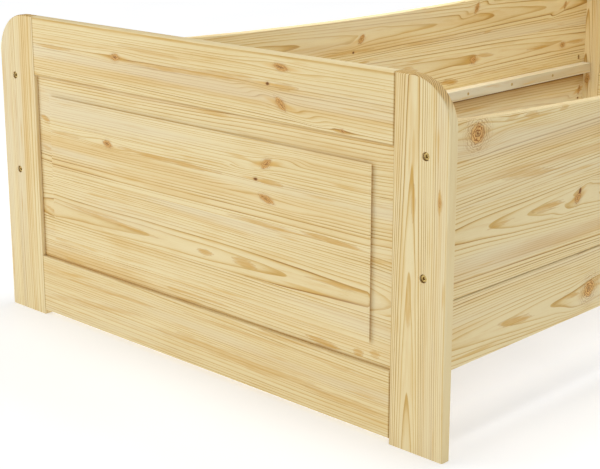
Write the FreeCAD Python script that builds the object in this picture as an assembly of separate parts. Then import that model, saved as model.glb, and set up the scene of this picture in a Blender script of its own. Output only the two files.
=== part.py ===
import FreeCAD, Part
import math
import os

from FreeCAD import Vector

# Single bed of solid pine that comes apart at four bolted corners.
# Two framed ends, each with a raised and fielded panel, hold two sides of two boards each.
# Millimetres. X runs across the bed, Y from foot to head, Z up. The origin is on the floor, mid bed.

# Sleeping space
mattress_width = 1000.0
mattress_length = 2000.0
play_across = 13.0
play_along = 9.0

# Framed ends
frame_thickness = 19.0
stile_width = 108.0
stile_overhang = 35.5
rail_height = 114.0
corner_radius = 78.0
edge_round = 3.0
inner_arris = 0.8
foot_height = 602.0
foot_floor_gap = 9.0
head_height = 802.0
head_floor_gap = 130.0

# Panel, with depths counted from the face of the frame that the field shows on
field_setback = 0.5
field_arris = 0.5
cove_radius = 4.0
bevel_drop = 2.5
tongue_thickness = 5.5
tongue_reach = 8.0
margin_beside = 48.0
margin_above = 40.0
groove_clearance = 0.2
panel_float = 1.0

# Sides
side_thickness = 20.0
side_floor_gap = 126.5
lower_board_height = 117.0
upper_board_height = 285.0
top_hollow = 31.0
top_chamfer = 2.0
lower_round = 3.0
joint_chamfer = 1.5
joint_gap = 1.5
joint_tongue_width = 6.0
joint_tongue_height = 7.0
joint_clearance = 0.1
joint_float = 1.0

# Slat ledgers and their screws
ledger_size = 28.0
ledger_rise = 0.5
ledger_end_gap = 8.0
ledger_chamfer = 1.0
screw_count = 9
screw_pitch = 200.0
screw_diameter = 4.5
screw_head_diameter = 8.6
screw_head_height = 2.9
screw_sink = 0.4
screw_bite = 12.0
screw_point = 4.0

# Corner bolts and their barrel nuts
bolt_spacing = 190.0
bolt_diameter = 6.0
bolt_length = 50.0
bolt_head_diameter = 12.0
bolt_head_height = 6.0
bolt_head_sink = 2.0
bolt_socket_width = 5.0
bolt_socket_depth = 3.5
bolt_hole_clearance = 0.5
bolt_end_room = 4.0
counterbore_clearance = 1.0
nut_diameter = 10.0
nut_length = 15.0
nut_inset = 31.0
nut_slot_width = 1.5
nut_slot_depth = 1.2

# Wooden dowels
dowel_diameter = 8.0
frame_dowel_length = 50.0
frame_dowel_spacing = 50.0
side_dowel_length = 34.0
side_dowel_in_stile = 12.0
dowel_end_room = 1.0

# Radial clearance of dowels, screws and nuts in their holes
pin_clearance = 0.1

# Pins and holes are prisms and rounds are cut in flats: few on what is covered, more on what shows
covered_sides = 8
shown_sides = 24
nut_sides = 12
round_facets = 3

# Places that follow from the sizes above
inner_half_width = (mattress_width + play_across) / 2
inner_length = mattress_length + play_along
outer_length = inner_length + 2 * frame_thickness
half_width = inner_half_width + side_thickness + stile_overhang
side_middle_x = inner_half_width + side_thickness / 2
opening_half_width = half_width - stile_width
joint_height = side_floor_gap + lower_board_height
bolt_middle = joint_height + upper_board_height / 2
bolt_heights = [bolt_middle - bolt_spacing / 2, bolt_middle + bolt_spacing / 2]
side_dowel_heights = [side_floor_gap + lower_board_height / 2, bolt_middle]
bolt_seat = bolt_head_sink + bolt_head_height
bevel_top = field_setback + field_arris + cove_radius
tongue_front = bevel_top + bevel_drop
tongue_back = tongue_front + tongue_thickness
groove_depth = tongue_reach + panel_float
ledger_bottom = joint_height + ledger_rise
ledger_inner_x = inner_half_width - ledger_size
screw_height = ledger_bottom + ledger_size / 2

ALONG_X = Vector(1, 0, 0)
ALONG_Y = Vector(0, 1, 0)
ALONG_Z = Vector(0, 0, 1)
ORIGIN = Vector(0, 0, 0)

nodes = {}


def block(x_range, y_range, z_range):
    """A box between two corners, given as a low and a high value on each axis."""
    low = Vector(min(x_range), min(y_range), min(z_range))
    high = Vector(max(x_range), max(y_range), max(z_range))
    size = high - low
    return Part.makeBox(size.x, size.y, size.z, low)


def ring(diameter, centre, run, sides=covered_sides):
    """A regular polygon about a point, square to X or Y, with a corner on top."""
    across = run.cross(ALONG_Z).normalize()
    corners = []
    for step in range(sides):
        angle = 2 * math.pi * step / sides
        arm = ALONG_Z * math.cos(angle) + across * math.sin(angle)
        corners.append(centre + arm * (diameter / 2))
    return Part.makePolygon(corners + corners[:1])


def prism(diameter, start, end, sides=covered_sides):
    """A many-sided rod along X or Y from one point to another."""
    run = end - start
    return Part.Face(ring(diameter, start, run, sides)).extrude(run)


def taper(start_diameter, end_diameter, start, end):
    """A many-sided cone along X or Y from one point to another."""
    run = end - start
    return Part.makeLoft([ring(start_diameter, start, run), ring(end_diameter, end, run)], True, True)


def rectangle(half_x, y, z_range):
    """An upright rectangular wire, centred on X = 0, at one depth."""
    low, high = z_range
    turns = [(-half_x, low), (half_x, low), (half_x, high), (-half_x, high)]
    corners = [Vector(x, y, z) for x, z in turns]
    return Part.makePolygon(corners + corners[:1])


def quarter_round(radius):
    """Flats of a rounded edge, as pairs of an inset from the edge and a depth below the face."""
    flats = []
    for step in range(round_facets + 1):
        angle = math.radians(90 * step / round_facets)
        flats.append((radius * (1 - math.sin(angle)), radius * (1 - math.cos(angle))))
    return flats


def rounded_rim():
    """Insets and depths round an outer edge of a frame board, from its front face to its back."""
    front = quarter_round(edge_round)
    back = [(inset, frame_thickness - depth) for inset, depth in reversed(front)]
    return front + back


def lies_flat(edge, axis, value):
    """True where the whole edge has one value on the named axis."""
    box = edge.BoundBox
    low = getattr(box, axis + "Min")
    high = getattr(box, axis + "Max")
    return abs(low - value) < 0.01 and abs(high - value) < 0.01


def runs_along(edge, axis):
    """True for a straight edge that is parallel to an axis."""
    return isinstance(edge.Curve, Part.Line) and abs(edge.tangentAt(edge.FirstParameter).dot(axis)) > 0.999


def grown(z_range, amount):
    """A height range made longer by the same amount at both ends."""
    return z_range[0] - amount, z_range[1] + amount


def mirrored(shape):
    """The left-hand copy of a right-hand shape."""
    return shape.mirror(ORIGIN, ALONG_X)


# Framed ends. Each is drawn with its outer face at Y = 0 and the bed on its +Y side.

def frame_dowel_points(rails):
    """Middles of the dowels between rails and stiles, on the joint lines."""
    points = []
    for rail_range in rails:
        middle = sum(rail_range) / 2
        for side in (-1, 1):
            for step in (-1, 1):
                height = middle + step * frame_dowel_spacing / 2
                points.append(Vector(side * opening_half_width, frame_thickness / 2, height))
    return points


def frame_dowel_holes(rails):
    """Holes across the joints between rails and stiles."""
    reach = ALONG_X * (frame_dowel_length / 2 + dowel_end_room)
    diameter = dowel_diameter + 2 * pin_clearance
    return [prism(diameter, point - reach, point + reach) for point in frame_dowel_points(rails)]


def frame_dowels(rails):
    """Wooden dowels across the joints between rails and stiles."""
    reach = ALONG_X * (frame_dowel_length / 2)
    return [prism(dowel_diameter, point - reach, point + reach) for point in frame_dowel_points(rails)]


def groove_span(field_inside):
    """Depth range of the panel groove, counted from the outer face of the frame."""
    front = tongue_front - groove_clearance
    back = tongue_back + groove_clearance
    if field_inside:
        return frame_thickness - back, frame_thickness - front
    return front, back


def corner_holes(side):
    """Bolt, counterbore and dowel holes through one stile, on the middle of the side."""
    x = side * side_middle_x
    holes = []
    for height in bolt_heights:
        face = Vector(x, 0, height)
        counterbore = bolt_head_diameter + 2 * counterbore_clearance
        holes.append(prism(counterbore, face, face + ALONG_Y * bolt_seat, shown_sides))
        holes.append(prism(bolt_diameter + 2 * bolt_hole_clearance, face, face + ALONG_Y * frame_thickness))
    for height in side_dowel_heights:
        face = Vector(x, frame_thickness, height)
        depth = side_dowel_in_stile + dowel_end_room
        holes.append(prism(dowel_diameter + 2 * pin_clearance, face - ALONG_Y * depth, face))
    return holes


def stile_outline(side, height, inset, depth):
    """Outline of a stile at one depth, drawn in by an inset, with its outer top corner as an arc."""
    outer = side * (half_width - inset)
    inner = side * (opening_half_width + inset * inner_arris / edge_round)
    top = height - inset
    radius = corner_radius - inset
    turn = side * radius
    off_middle = 1 - math.sqrt(0.5)
    foot_inner = Vector(inner, depth, 0)
    foot_outer = Vector(outer, depth, 0)
    arc_start = Vector(outer, depth, top - radius)
    arc_middle = Vector(outer - turn * off_middle, depth, top - radius * off_middle)
    arc_end = Vector(outer - turn, depth, top)
    top_inner = Vector(inner, depth, top)
    return Part.Wire([
        Part.makeLine(foot_inner, foot_outer),
        Part.makeLine(foot_outer, arc_start),
        Part.Arc(arc_start, arc_middle, arc_end).toShape(),
        Part.makeLine(arc_end, top_inner),
        Part.makeLine(top_inner, foot_inner),
    ])


def stile(side, height, rails, opening, field_inside):
    """Upright board with rounded outer edges and a quarter-round outer top corner."""
    outlines = [stile_outline(side, height, inset, depth) for inset, depth in rounded_rim()]
    board = Part.makeLoft(outlines, True, True)
    inner = side * opening_half_width
    groove_x = (inner, inner + side * groove_depth)
    groove = block(groove_x, groove_span(field_inside), grown(opening, groove_depth))
    return board.cut([groove] + corner_holes(side) + frame_dowel_holes(rails))


def rail(outer_height, inner_height, rails, field_inside):
    """Horizontal board with a rounded outer edge, and a groove along the edge that faces the panel."""
    inwards = math.copysign(1, inner_height - outer_height)
    arris_height = inner_height - inwards * inner_arris
    section = [(depth, outer_height + inwards * inset) for inset, depth in rounded_rim()]
    section += [
        (frame_thickness, arris_height),
        (frame_thickness - inner_arris, inner_height),
        (inner_arris, inner_height),
        (0, arris_height),
    ]
    points = [Vector(-opening_half_width, y, z) for y, z in section]
    board = Part.Face(Part.makePolygon(points + points[:1])).extrude(ALONG_X * (2 * opening_half_width))
    groove_range = (inner_height, inner_height - inwards * groove_depth)
    groove = block((-opening_half_width, opening_half_width), groove_span(field_inside), groove_range)
    return board.cut([groove] + frame_dowel_holes(rails))


def raised_panel(opening):
    """Panel with a tongue all round, a sloping margin, and a cove that rises to a raised field."""
    tongue_x = opening_half_width + tongue_reach
    field_x = opening_half_width - margin_beside
    field_range = grown(opening, -margin_above)
    tongue = block((-tongue_x, tongue_x), (tongue_front, tongue_back), grown(opening, tongue_reach))
    outlines = [rectangle(opening_half_width, tongue_front, opening)]
    for rise, outset in quarter_round(cove_radius):
        outlines.append(rectangle(field_x + outset, bevel_top - cove_radius + rise, grown(field_range, outset)))
    outlines.append(rectangle(field_x - field_arris, field_setback, grown(field_range, -field_arris)))
    return tongue.fuse(Part.makeLoft(outlines, True, True)).removeSplitter()


def turned_inwards(shape):
    """A panel turned about so that its field shows on the inner face of the frame."""
    turned = shape.copy()
    turned.rotate(Vector(0, frame_thickness / 2, 0), ALONG_Z, 180)
    return turned


def end_bolts():
    """Socket bolts of one end, heads sunk below the outer face."""
    bolts = []
    across_corners = bolt_socket_width / math.cos(math.pi / 6)
    for side in (-1, 1):
        for height in bolt_heights:
            top = Vector(side * side_middle_x, bolt_head_sink, height)
            seat = top + ALONG_Y * bolt_head_height
            head = prism(bolt_head_diameter, top, seat, shown_sides)
            corners = []
            for step in range(7):
                angle = math.radians(60 * step)
                arm = Vector(math.cos(angle), 0, math.sin(angle)) * (across_corners / 2)
                corners.append(top + arm)
            socket = Part.Face(Part.makePolygon(corners)).extrude(ALONG_Y * bolt_socket_depth)
            shank = prism(bolt_diameter, seat, seat + ALONG_Y * bolt_length)
            bolts.append(head.cut(socket).fuse(shank))
    return bolts


def end_nuts():
    """Barrel nuts of one end, across the sides, with a slot in the end that shows on the inside."""
    nuts = []
    for side in (-1, 1):
        for height in bolt_heights:
            middle = Vector(side * side_middle_x, frame_thickness + nut_inset, height)
            reach = ALONG_X * (side * nut_length / 2)
            body = prism(nut_diameter, middle - reach, middle + reach, nut_sides)
            through = ALONG_Y * nut_diameter
            thread = prism(bolt_diameter + 2 * pin_clearance, middle - through, middle + through)
            shown = middle - reach
            slot_x = (shown.x, shown.x + side * nut_slot_depth)
            slot_y = (middle.y - nut_diameter, middle.y + nut_diameter)
            slot_z = (height - nut_slot_width / 2, height + nut_slot_width / 2)
            nuts.append(body.cut([thread, block(slot_x, slot_y, slot_z)]))
    return nuts


def end_side_dowels():
    """Dowels that locate the ends of the side boards on the stiles."""
    dowels = []
    for side in (-1, 1):
        for height in side_dowel_heights:
            start = Vector(side * side_middle_x, frame_thickness - side_dowel_in_stile, height)
            dowels.append(prism(dowel_diameter, start, start + ALONG_Y * side_dowel_length))
    return dowels


def framed_end(name, height, lower_rail_bottom, lower_rail_name, field_inside, turned):
    """All the pieces of one end, moved to its place. The head end is turned half a turn about Z."""
    lower_rail_top = lower_rail_bottom + rail_height
    upper_rail_bottom = height - rail_height
    lower = (lower_rail_bottom, lower_rail_top)
    upper = (upper_rail_bottom, height)
    rails = [lower, upper]
    opening = (lower_rail_top, upper_rail_bottom)
    panel = raised_panel(opening)
    if field_inside:
        panel = turned_inwards(panel)
    pieces = {
        "top_rail": rail(height, upper_rail_bottom, rails, field_inside),
        lower_rail_name: rail(lower_rail_bottom, lower_rail_top, rails, field_inside),
        "panel": panel,
        "frame_dowels": Part.makeCompound(frame_dowels(rails)),
        "bolts": Part.makeCompound(end_bolts()),
        "barrel_nuts": Part.makeCompound(end_nuts()),
        "locating_dowels": Part.makeCompound(end_side_dowels()),
    }
    left = 1 if turned else -1
    pieces["left_stile"] = stile(left, height, rails, opening, field_inside)
    pieces["right_stile"] = stile(-left, height, rails, opening, field_inside)
    for piece, shape in pieces.items():
        placed = shape.copy()
        placed.translate(Vector(0, -outer_length / 2, 0))
        if turned:
            placed.rotate(ORIGIN, ALONG_Z, 180)
        nodes[name + "_" + piece] = placed


# Sides, drawn for the right-hand side of the bed.

def side_end_holes(heights, diameter, depth):
    """Holes along Y into both ends of a side board."""
    holes = []
    for end in (-1, 1):
        for height in heights:
            face = Vector(side_middle_x, end * inner_length / 2, height)
            holes.append(prism(diameter, face, face - ALONG_Y * (end * depth)))
    return holes


def screw_points():
    """Where the ledger screws cross the inner face of the ledger."""
    first = -screw_pitch * (screw_count - 1) / 2
    return [Vector(ledger_inner_x, first + step * screw_pitch, screw_height) for step in range(screw_count)]


def side_dowel_hole_depth():
    """Depth of a locating dowel's hole in the end of a side board."""
    return side_dowel_length - side_dowel_in_stile + dowel_end_room


def upper_board():
    """Wide side board with a hollow top edge, grooved below for the tongue of the lower board."""
    half = inner_length / 2
    top = joint_height + upper_board_height
    low_foot = Vector(inner_half_width, -half, joint_height)
    low_head = Vector(inner_half_width, half, joint_height)
    top_foot = Vector(inner_half_width, -half, top)
    top_head = Vector(inner_half_width, half, top)
    top_middle = Vector(inner_half_width, 0, top - top_hollow)
    outline = Part.Wire([
        Part.makeLine(top_foot, low_foot),
        Part.makeLine(low_foot, low_head),
        Part.makeLine(low_head, top_head),
        Part.Arc(top_head, top_middle, top_foot).toShape(),
    ])
    board = Part.Face(outline).extrude(ALONG_X * side_thickness)
    board = board.makeChamfer(top_chamfer, [e for e in board.Edges if isinstance(e.Curve, Part.Circle)])
    lower_edges = [e for e in board.Edges if runs_along(e, ALONG_Y) and lies_flat(e, "Z", joint_height)]
    board = board.makeChamfer(joint_chamfer, lower_edges)
    groove_reach = joint_tongue_width / 2 + joint_clearance
    groove_x = (side_middle_x - groove_reach, side_middle_x + groove_reach)
    groove_z = (joint_height, joint_height + joint_tongue_height + joint_float)
    holes = [block(groove_x, (-half, half), groove_z)]
    bolt_depth = bolt_seat + bolt_length - frame_thickness + bolt_end_room
    holes += side_end_holes(bolt_heights, bolt_diameter + 2 * bolt_hole_clearance, bolt_depth)
    holes += side_end_holes([bolt_middle], dowel_diameter + 2 * pin_clearance, side_dowel_hole_depth())
    nut_hole_end = ALONG_X * (side_thickness / 2 + nut_length / 2 + pin_clearance)
    for end in (-1, 1):
        for height in bolt_heights:
            mouth = Vector(inner_half_width, end * (half - nut_inset), height)
            holes.append(prism(nut_diameter + 2 * pin_clearance, mouth, mouth + nut_hole_end, nut_sides))
    for point in screw_points():
        mouth = Vector(inner_half_width, point.y, point.z)
        depth = ALONG_X * (screw_bite + pin_clearance)
        holes.append(prism(screw_diameter + 2 * pin_clearance, mouth, mouth + depth))
    return board.cut(holes)


def lower_board():
    """Narrow side board with a tongue along its top, a shadow gap outside it and rounded lower edges."""
    inner = inner_half_width
    outer = inner_half_width + side_thickness
    tongue_low = side_middle_x - joint_tongue_width / 2
    tongue_high = side_middle_x + joint_tongue_width / 2
    tongue_top = joint_height + joint_tongue_height
    outer_top = joint_height - joint_gap
    section = [
        (inner, side_floor_gap),
        (outer, side_floor_gap),
        (outer, outer_top - joint_chamfer),
        (outer - joint_chamfer, outer_top),
        (tongue_high, outer_top),
        (tongue_high, tongue_top),
        (tongue_low, tongue_top),
        (tongue_low, joint_height),
        (inner + joint_chamfer, joint_height),
        (inner, joint_height - joint_chamfer),
    ]
    points = [Vector(x, -inner_length / 2, z) for x, z in section]
    board = Part.Face(Part.makePolygon(points + points[:1])).extrude(ALONG_Y * inner_length)
    bottom_edges = [e for e in board.Edges if runs_along(e, ALONG_Y) and lies_flat(e, "Z", side_floor_gap)]
    board = board.makeFillet(lower_round, bottom_edges)
    hole_diameter = dowel_diameter + 2 * pin_clearance
    return board.cut(side_end_holes(side_dowel_heights[:1], hole_diameter, side_dowel_hole_depth()))


def ledger():
    """Square strip that carries a slatted base, with countersunk screw holes."""
    half = inner_length / 2 - ledger_end_gap
    strip_z = (ledger_bottom, ledger_bottom + ledger_size)
    strip = block((ledger_inner_x, inner_half_width), (-half, half), strip_z)
    strip = strip.makeChamfer(ledger_chamfer, [e for e in strip.Edges if runs_along(e, ALONG_Y)])
    hole_diameter = screw_diameter + 2 * pin_clearance
    head_diameter = screw_head_diameter + 2 * pin_clearance
    holes = []
    for point in screw_points():
        sunk = point + ALONG_X * screw_sink
        neck = sunk + ALONG_X * screw_head_height
        holes.append(prism(head_diameter, point, sunk))
        holes.append(taper(head_diameter, hole_diameter, sunk, neck))
        holes.append(prism(hole_diameter, neck, point + ALONG_X * ledger_size))
    return strip.cut(holes)


def ledger_screws():
    """Countersunk wood screws, each drawn through the rings of its head, neck and point."""
    screws = []
    for point in screw_points():
        top = point + ALONG_X * screw_sink
        neck = top + ALONG_X * screw_head_height
        tip = point + ALONG_X * (ledger_size + screw_bite)
        shoulder = tip - ALONG_X * screw_point
        rings = [
            ring(screw_head_diameter, top, ALONG_X),
            ring(screw_diameter, neck, ALONG_X),
            ring(screw_diameter, shoulder, ALONG_X),
            Part.Vertex(tip),
        ]
        screws.append(Part.makeLoft(rings, True, True))
    return Part.makeCompound(screws)


framed_end("foot", foot_height, foot_floor_gap, "bottom_rail", field_inside=False, turned=False)
framed_end("head", head_height, head_floor_gap, "lower_rail", field_inside=True, turned=True)

side_pieces = {
    "side_upper_board": upper_board(),
    "side_lower_board": lower_board(),
    "slat_ledger": ledger(),
    "ledger_screws": ledger_screws(),
}
for piece_name, piece_shape in side_pieces.items():
    nodes["right_" + piece_name] = piece_shape
    nodes["left_" + piece_name] = mirrored(piece_shape)

os.makedirs("parts", exist_ok=True)
for node_name, node_shape in nodes.items():
    node_shape.exportStep(os.path.join("parts", node_name + ".step"))
    volume = round(node_shape.Volume / 1000, 1)
    print(node_name, len(node_shape.Solids), "solids,", volume, "cm3, valid", node_shape.isValid())
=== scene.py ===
import math
import random

import bmesh
import bpy
from mathutils import Euler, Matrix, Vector


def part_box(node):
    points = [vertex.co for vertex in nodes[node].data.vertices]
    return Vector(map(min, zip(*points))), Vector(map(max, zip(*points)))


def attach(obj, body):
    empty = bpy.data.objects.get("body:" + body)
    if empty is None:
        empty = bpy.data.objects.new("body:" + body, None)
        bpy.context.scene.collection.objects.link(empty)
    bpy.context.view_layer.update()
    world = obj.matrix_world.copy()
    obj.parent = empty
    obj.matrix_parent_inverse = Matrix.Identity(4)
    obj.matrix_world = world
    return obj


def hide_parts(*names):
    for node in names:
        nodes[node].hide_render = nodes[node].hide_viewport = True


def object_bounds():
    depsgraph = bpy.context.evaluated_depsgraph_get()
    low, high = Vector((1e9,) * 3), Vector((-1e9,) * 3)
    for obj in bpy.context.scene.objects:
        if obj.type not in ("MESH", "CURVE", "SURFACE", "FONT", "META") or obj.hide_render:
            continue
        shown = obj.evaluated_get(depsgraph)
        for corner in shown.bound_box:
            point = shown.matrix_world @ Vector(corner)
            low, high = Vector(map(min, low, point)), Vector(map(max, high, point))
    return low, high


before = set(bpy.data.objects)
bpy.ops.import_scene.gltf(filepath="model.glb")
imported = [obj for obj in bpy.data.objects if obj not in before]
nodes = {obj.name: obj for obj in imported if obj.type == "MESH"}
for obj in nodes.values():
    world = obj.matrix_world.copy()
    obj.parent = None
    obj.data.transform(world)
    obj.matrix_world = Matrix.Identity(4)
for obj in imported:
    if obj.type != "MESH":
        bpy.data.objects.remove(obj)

MM = 0.001
cad_low, cad_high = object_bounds()

# Axes of a board by its grain: along the grain, across the board, through its thickness
GRAIN_AXES = {"X": (0, 2, 1), "Y": (1, 2, 0), "Z": (2, 0, 1)}

# Sockets of a colour mix: the share and the two colours, and the result
COLOUR_MIX_INPUTS = (0, 6, 7)
COLOUR_MIX_OUTPUT = 2


def linear(level):
    """One colour level from 0 to 255 as the linear value that a shader takes, by the usual screen curve."""
    share = level / 255
    if share <= 0.04045:
        return share / 12.92
    return ((share + 0.055) / 1.055) ** 2.4


def paint(red, green, blue):
    """A colour given as screen levels."""
    return (linear(red), linear(green), linear(blue), 1.0)


class Recipe:
    """One procedural material, put together node by node."""

    def __init__(self, name):
        self.material = bpy.data.materials.new(name)
        self.material.use_nodes = True
        self.tree = self.material.node_tree
        self.tree.nodes.clear()

    def set_input(self, socket, value):
        """Links an output to a socket, or sets the socket's own value."""
        if isinstance(value, bpy.types.NodeSocket):
            self.tree.links.new(value, socket)
        else:
            socket.default_value = value

    def node(self, kind, inputs=None, **settings):
        """A node of one kind, with its settings and with values or links on its inputs."""
        made = self.tree.nodes.new(kind)
        for name, value in settings.items():
            setattr(made, name, value)
        for name, value in (inputs or {}).items():
            self.set_input(made.inputs[name], value)
        return made

    def math(self, operation, *values):
        """The result of one operation on some values."""
        return self.node("ShaderNodeMath", dict(enumerate(values)), operation=operation).outputs[0]

    def times(self, value, factor, offset=0.0):
        """A value times a factor, plus an offset."""
        return self.math("MULTIPLY_ADD", value, factor, offset)

    def swing(self, value, width):
        """A value between 0 and 1 as a swing about zero, of a width from side to side."""
        return self.times(value, width, -width / 2)

    def product(self, first, second):
        """Two values multiplied."""
        return self.math("MULTIPLY", first, second)

    def total(self, values):
        """The sum of several values."""
        added = values[0]
        for value in values[1:]:
            added = self.math("ADD", added, value)
        return added

    def joined(self, x, y, z):
        """A vector made of three values."""
        return self.node("ShaderNodeCombineXYZ", {0: x, 1: y, 2: z}).outputs[0]

    def split(self, vector):
        """The three values of a vector or a colour."""
        return self.node("ShaderNodeSeparateXYZ", {0: vector}).outputs

    def length(self, vector):
        """The length of a vector."""
        return self.node("ShaderNodeVectorMath", {0: vector}, operation="LENGTH").outputs["Value"]

    def shifted(self, vector, offset):
        """A vector moved by another one."""
        return self.node("ShaderNodeVectorMath", {0: vector, 1: offset}, operation="ADD").outputs[0]

    def place(self):
        """The three coordinates of a point on the object, in metres."""
        return self.split(self.node("ShaderNodeTexCoord").outputs["Object"])

    def eased(self, value, start, end, low=0.0, high=1.0):
        """A smooth step from low to high while a value goes from start to end."""
        inputs = {"Value": value, "From Min": start, "From Max": end, "To Min": low, "To Max": high}
        made = self.node("ShaderNodeMapRange", inputs, interpolation_type="SMOOTHSTEP")
        return made.outputs["Result"]

    def faded(self, value, start, end, most=1.0):
        """A smooth step down to nothing while a value goes from start to end."""
        return self.eased(value, start, end, low=most, high=0.0)

    def pulse(self, value, start, full, fade, end, most=1.0):
        """A smooth rise while a value goes from start to full, and a smooth fall from fade to end."""
        return self.product(self.eased(value, start, full), self.faded(value, fade, end, most))

    def noise(self, axes, waves, detail=2.0, roughness=0.5):
        """Noise over three values, each with its own number of waves in a metre."""
        stretched = [self.product(axis, count) for axis, count in zip(axes, waves)]
        inputs = {"Vector": self.joined(*stretched), "Scale": 1.0, "Detail": detail, "Roughness": roughness}
        return self.node("ShaderNodeTexNoise", inputs).outputs

    def noise_level(self, axes, waves, **more):
        """One value of noise."""
        return self.noise(axes, waves, **more)[0]

    def noise_levels(self, axes, waves, **more):
        """Three values of noise that go their own ways."""
        return self.split(self.noise(axes, waves, **more)["Color"])

    def noise_line(self, value, detail):
        """Noise along one number, about zero."""
        inputs = {"W": value, "Scale": 1.0, "Detail": detail}
        made = self.node("ShaderNodeTexNoise", inputs, noise_dimensions="1D")
        return self.math("SUBTRACT", made.outputs[0], 0.5)

    def chance(self, value):
        """A colour and a number that change by chance from one whole number to the next."""
        return self.node("ShaderNodeTexWhiteNoise", {"W": value}, noise_dimensions="1D").outputs

    def ramp(self, value, stops):
        """Colours by value, from pairs of a place and a colour."""
        made = self.node("ShaderNodeValToRGB", {0: value})
        elements = made.color_ramp.elements
        while len(elements) < len(stops):
            elements.new(1.0)
        for element, (place, colour) in zip(elements, stops):
            element.position = place
            element.color = colour
        return made.outputs[0]

    def mixed(self, share, first, second, blend="MIX"):
        """The first colour with a share of the second in it."""
        made = self.node("ShaderNodeMix", data_type="RGBA", blend_type=blend)
        for index, value in zip(COLOUR_MIX_INPUTS, (share, first, second)):
            self.set_input(made.inputs[index], value)
        return made.outputs[COLOUR_MIX_OUTPUT]

    def stained(self, share, colour, stain):
        """A colour darkened by a share of a stain."""
        return self.mixed(share, colour, stain, blend="MULTIPLY")

    def finish(self, colour, roughness, height, bump_depth, **more):
        """Closes the material with one shader. Constants go on the shader's own sockets."""
        bump = self.node("ShaderNodeBump", {"Height": height, "Distance": bump_depth, "Strength": 1.0})
        inputs = {"Base Color": colour, "Roughness": roughness, "Normal": bump.outputs[0], **more}
        shader = self.node("ShaderNodeBsdfPrincipled", inputs)
        self.node("ShaderNodeOutputMaterial", {"Surface": shader.outputs[0]})
        return self.material


# Wood: colours by tone, from early to late wood, and single colours

PINE = [
    (0.0, paint(242, 224, 176)),
    (0.30, paint(232, 207, 149)),
    (0.70, paint(211, 172, 98)),
    (1.0, paint(176, 130, 66)),
]
WHITEWOOD = [(0.0, paint(226, 217, 190)), (0.4, paint(214, 203, 170)), (1.0, paint(190, 171, 130))]
BEECH = [(0.0, paint(222, 188, 146)), (0.4, paint(214, 176, 132)), (1.0, paint(190, 146, 102))]
HEARTWOOD = paint(240, 218, 178)
PALE_WOOD = paint(234, 220, 188)
GOLDEN_WOOD = paint(220, 178, 96)
TAN_BAND = paint(236, 214, 188)
END_LINE = paint(146, 96, 36)
FLAME = paint(212, 164, 78)
FLAME_EDGE = paint(184, 132, 60)
# Painted shade in the crevice along a frame, a darker seam colour that also paints shade on a low edge, and
# a painted shadow below a ledger, darkest in its corner
CREVICE_SHADE = paint(222, 204, 180)
SEAM_AND_SHADE = paint(212, 196, 168)
LEDGER_SHADOW = paint(198, 176, 148)
LEDGER_CORNER_SHADOW = paint(150, 128, 92)
KNOT_HEART = paint(104, 58, 22)
KNOT_RIM = paint(148, 90, 36)
KNOT_DARK = paint(168, 106, 48)
KNOT_LIGHT = paint(232, 188, 116)
KNOT_HALO = paint(224, 180, 98)

# Noise: waves in a metre along, across and through the grain
RAGGED_WAVES = (140, 190, 90)
BEND_WAVES = (1.3, 4.0, 4.0)
FADING_WAVES = (5.0, 45.0, 45.0)
FIBRE_WAVES = (22.0, 700.0, 700.0)
CLOUD_WAVES = (3.0, 22.0, 22.0)
FLECK_WAVES = (60.0, 900.0, 900.0)
ZONE_WAVES = (1.1, 20.0, 20.0)
WISP_WAVES = (6.0, 80.0, 80.0)
FEATHER_WAVES = (14.0, 420.0, 420.0)

# Logs: metres over which chance may cut a stave from its log, shares of a stave's width before and over
# which chance may put its pith, and the widths of the log's bends in millimetres
LOG_LENGTH = 30.0
PITH_MARGIN = 0.25
PITH_ROOM = 0.5
BEND_ACROSS = 14.0
BEND_DEEP = 12.0

# Growth rings: how uneven the years are, how strong each is by chance, and its golden wood and dark line
UNEVEN_WAVES = 60.0
UNEVEN_YEARS = 1.8
YEARS_BEFORE = 100.0
YEAR_POWER = 2.0
YEAR_LUCK = 0.55
YEAR_BASE = 0.50
FADING_GAIN = 1.2
FADING_BASE = 0.40
GOLDEN_PULSE = {"start": 0.42, "full": 0.92, "fade": 0.96, "end": 1.0}
LINE_PULSE = {"start": 0.74, "full": 0.93, "fade": 0.96, "end": 1.0}
GOLDEN_TONE = 0.45
LINE_TONE = 0.5

# Tone and zones of colour
FIBRE_TONE = 0.30
CLOUD_TONE = 0.44
CLOUD_TONE_OFFSET = -0.20
STAVE_TONE = 0.16
FLECK_STEP = {"start": 0.62, "end": 0.74}
FLECK_TONE = 0.14
HEARTWOOD_ZONE = {"start": 0.50, "end": 0.72, "high": 0.55}
PALE_ZONE = {"start": 0.50, "end": 0.70, "high": 0.45}
STRONG_WISP = {"start": 0.62, "end": 0.76, "high": 0.6}
FAINT_WISP = {"start": 0.54, "end": 0.70, "high": 0.25}

# Bands: sway in millimetres, and where in half widths they start and end to fade
BAND_SWAY = 12.0
BAND_FADE = (0.5, 1.4)
BAND_SHARE = 0.6
BAND_CLOUD = {"start": 0.2, "end": 0.6}

# Golden streaks: how far their outline sways, in half widths, and how they fade out
WISP_SWAY = 2.2
FEATHER_SWAY = 2.4
STREAK_FADE = {"start": 0.50, "end": 1.15}
STREAK_GAIN = 1.15
STREAK_FIBRE = {"start": 0.30, "end": 0.6, "low": 0.55}
OUTLINE_PULSE = {"start": 0.80, "full": 1.0, "fade": 1.0, "end": 1.20}
OUTLINE_SHARE = 0.5

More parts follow.
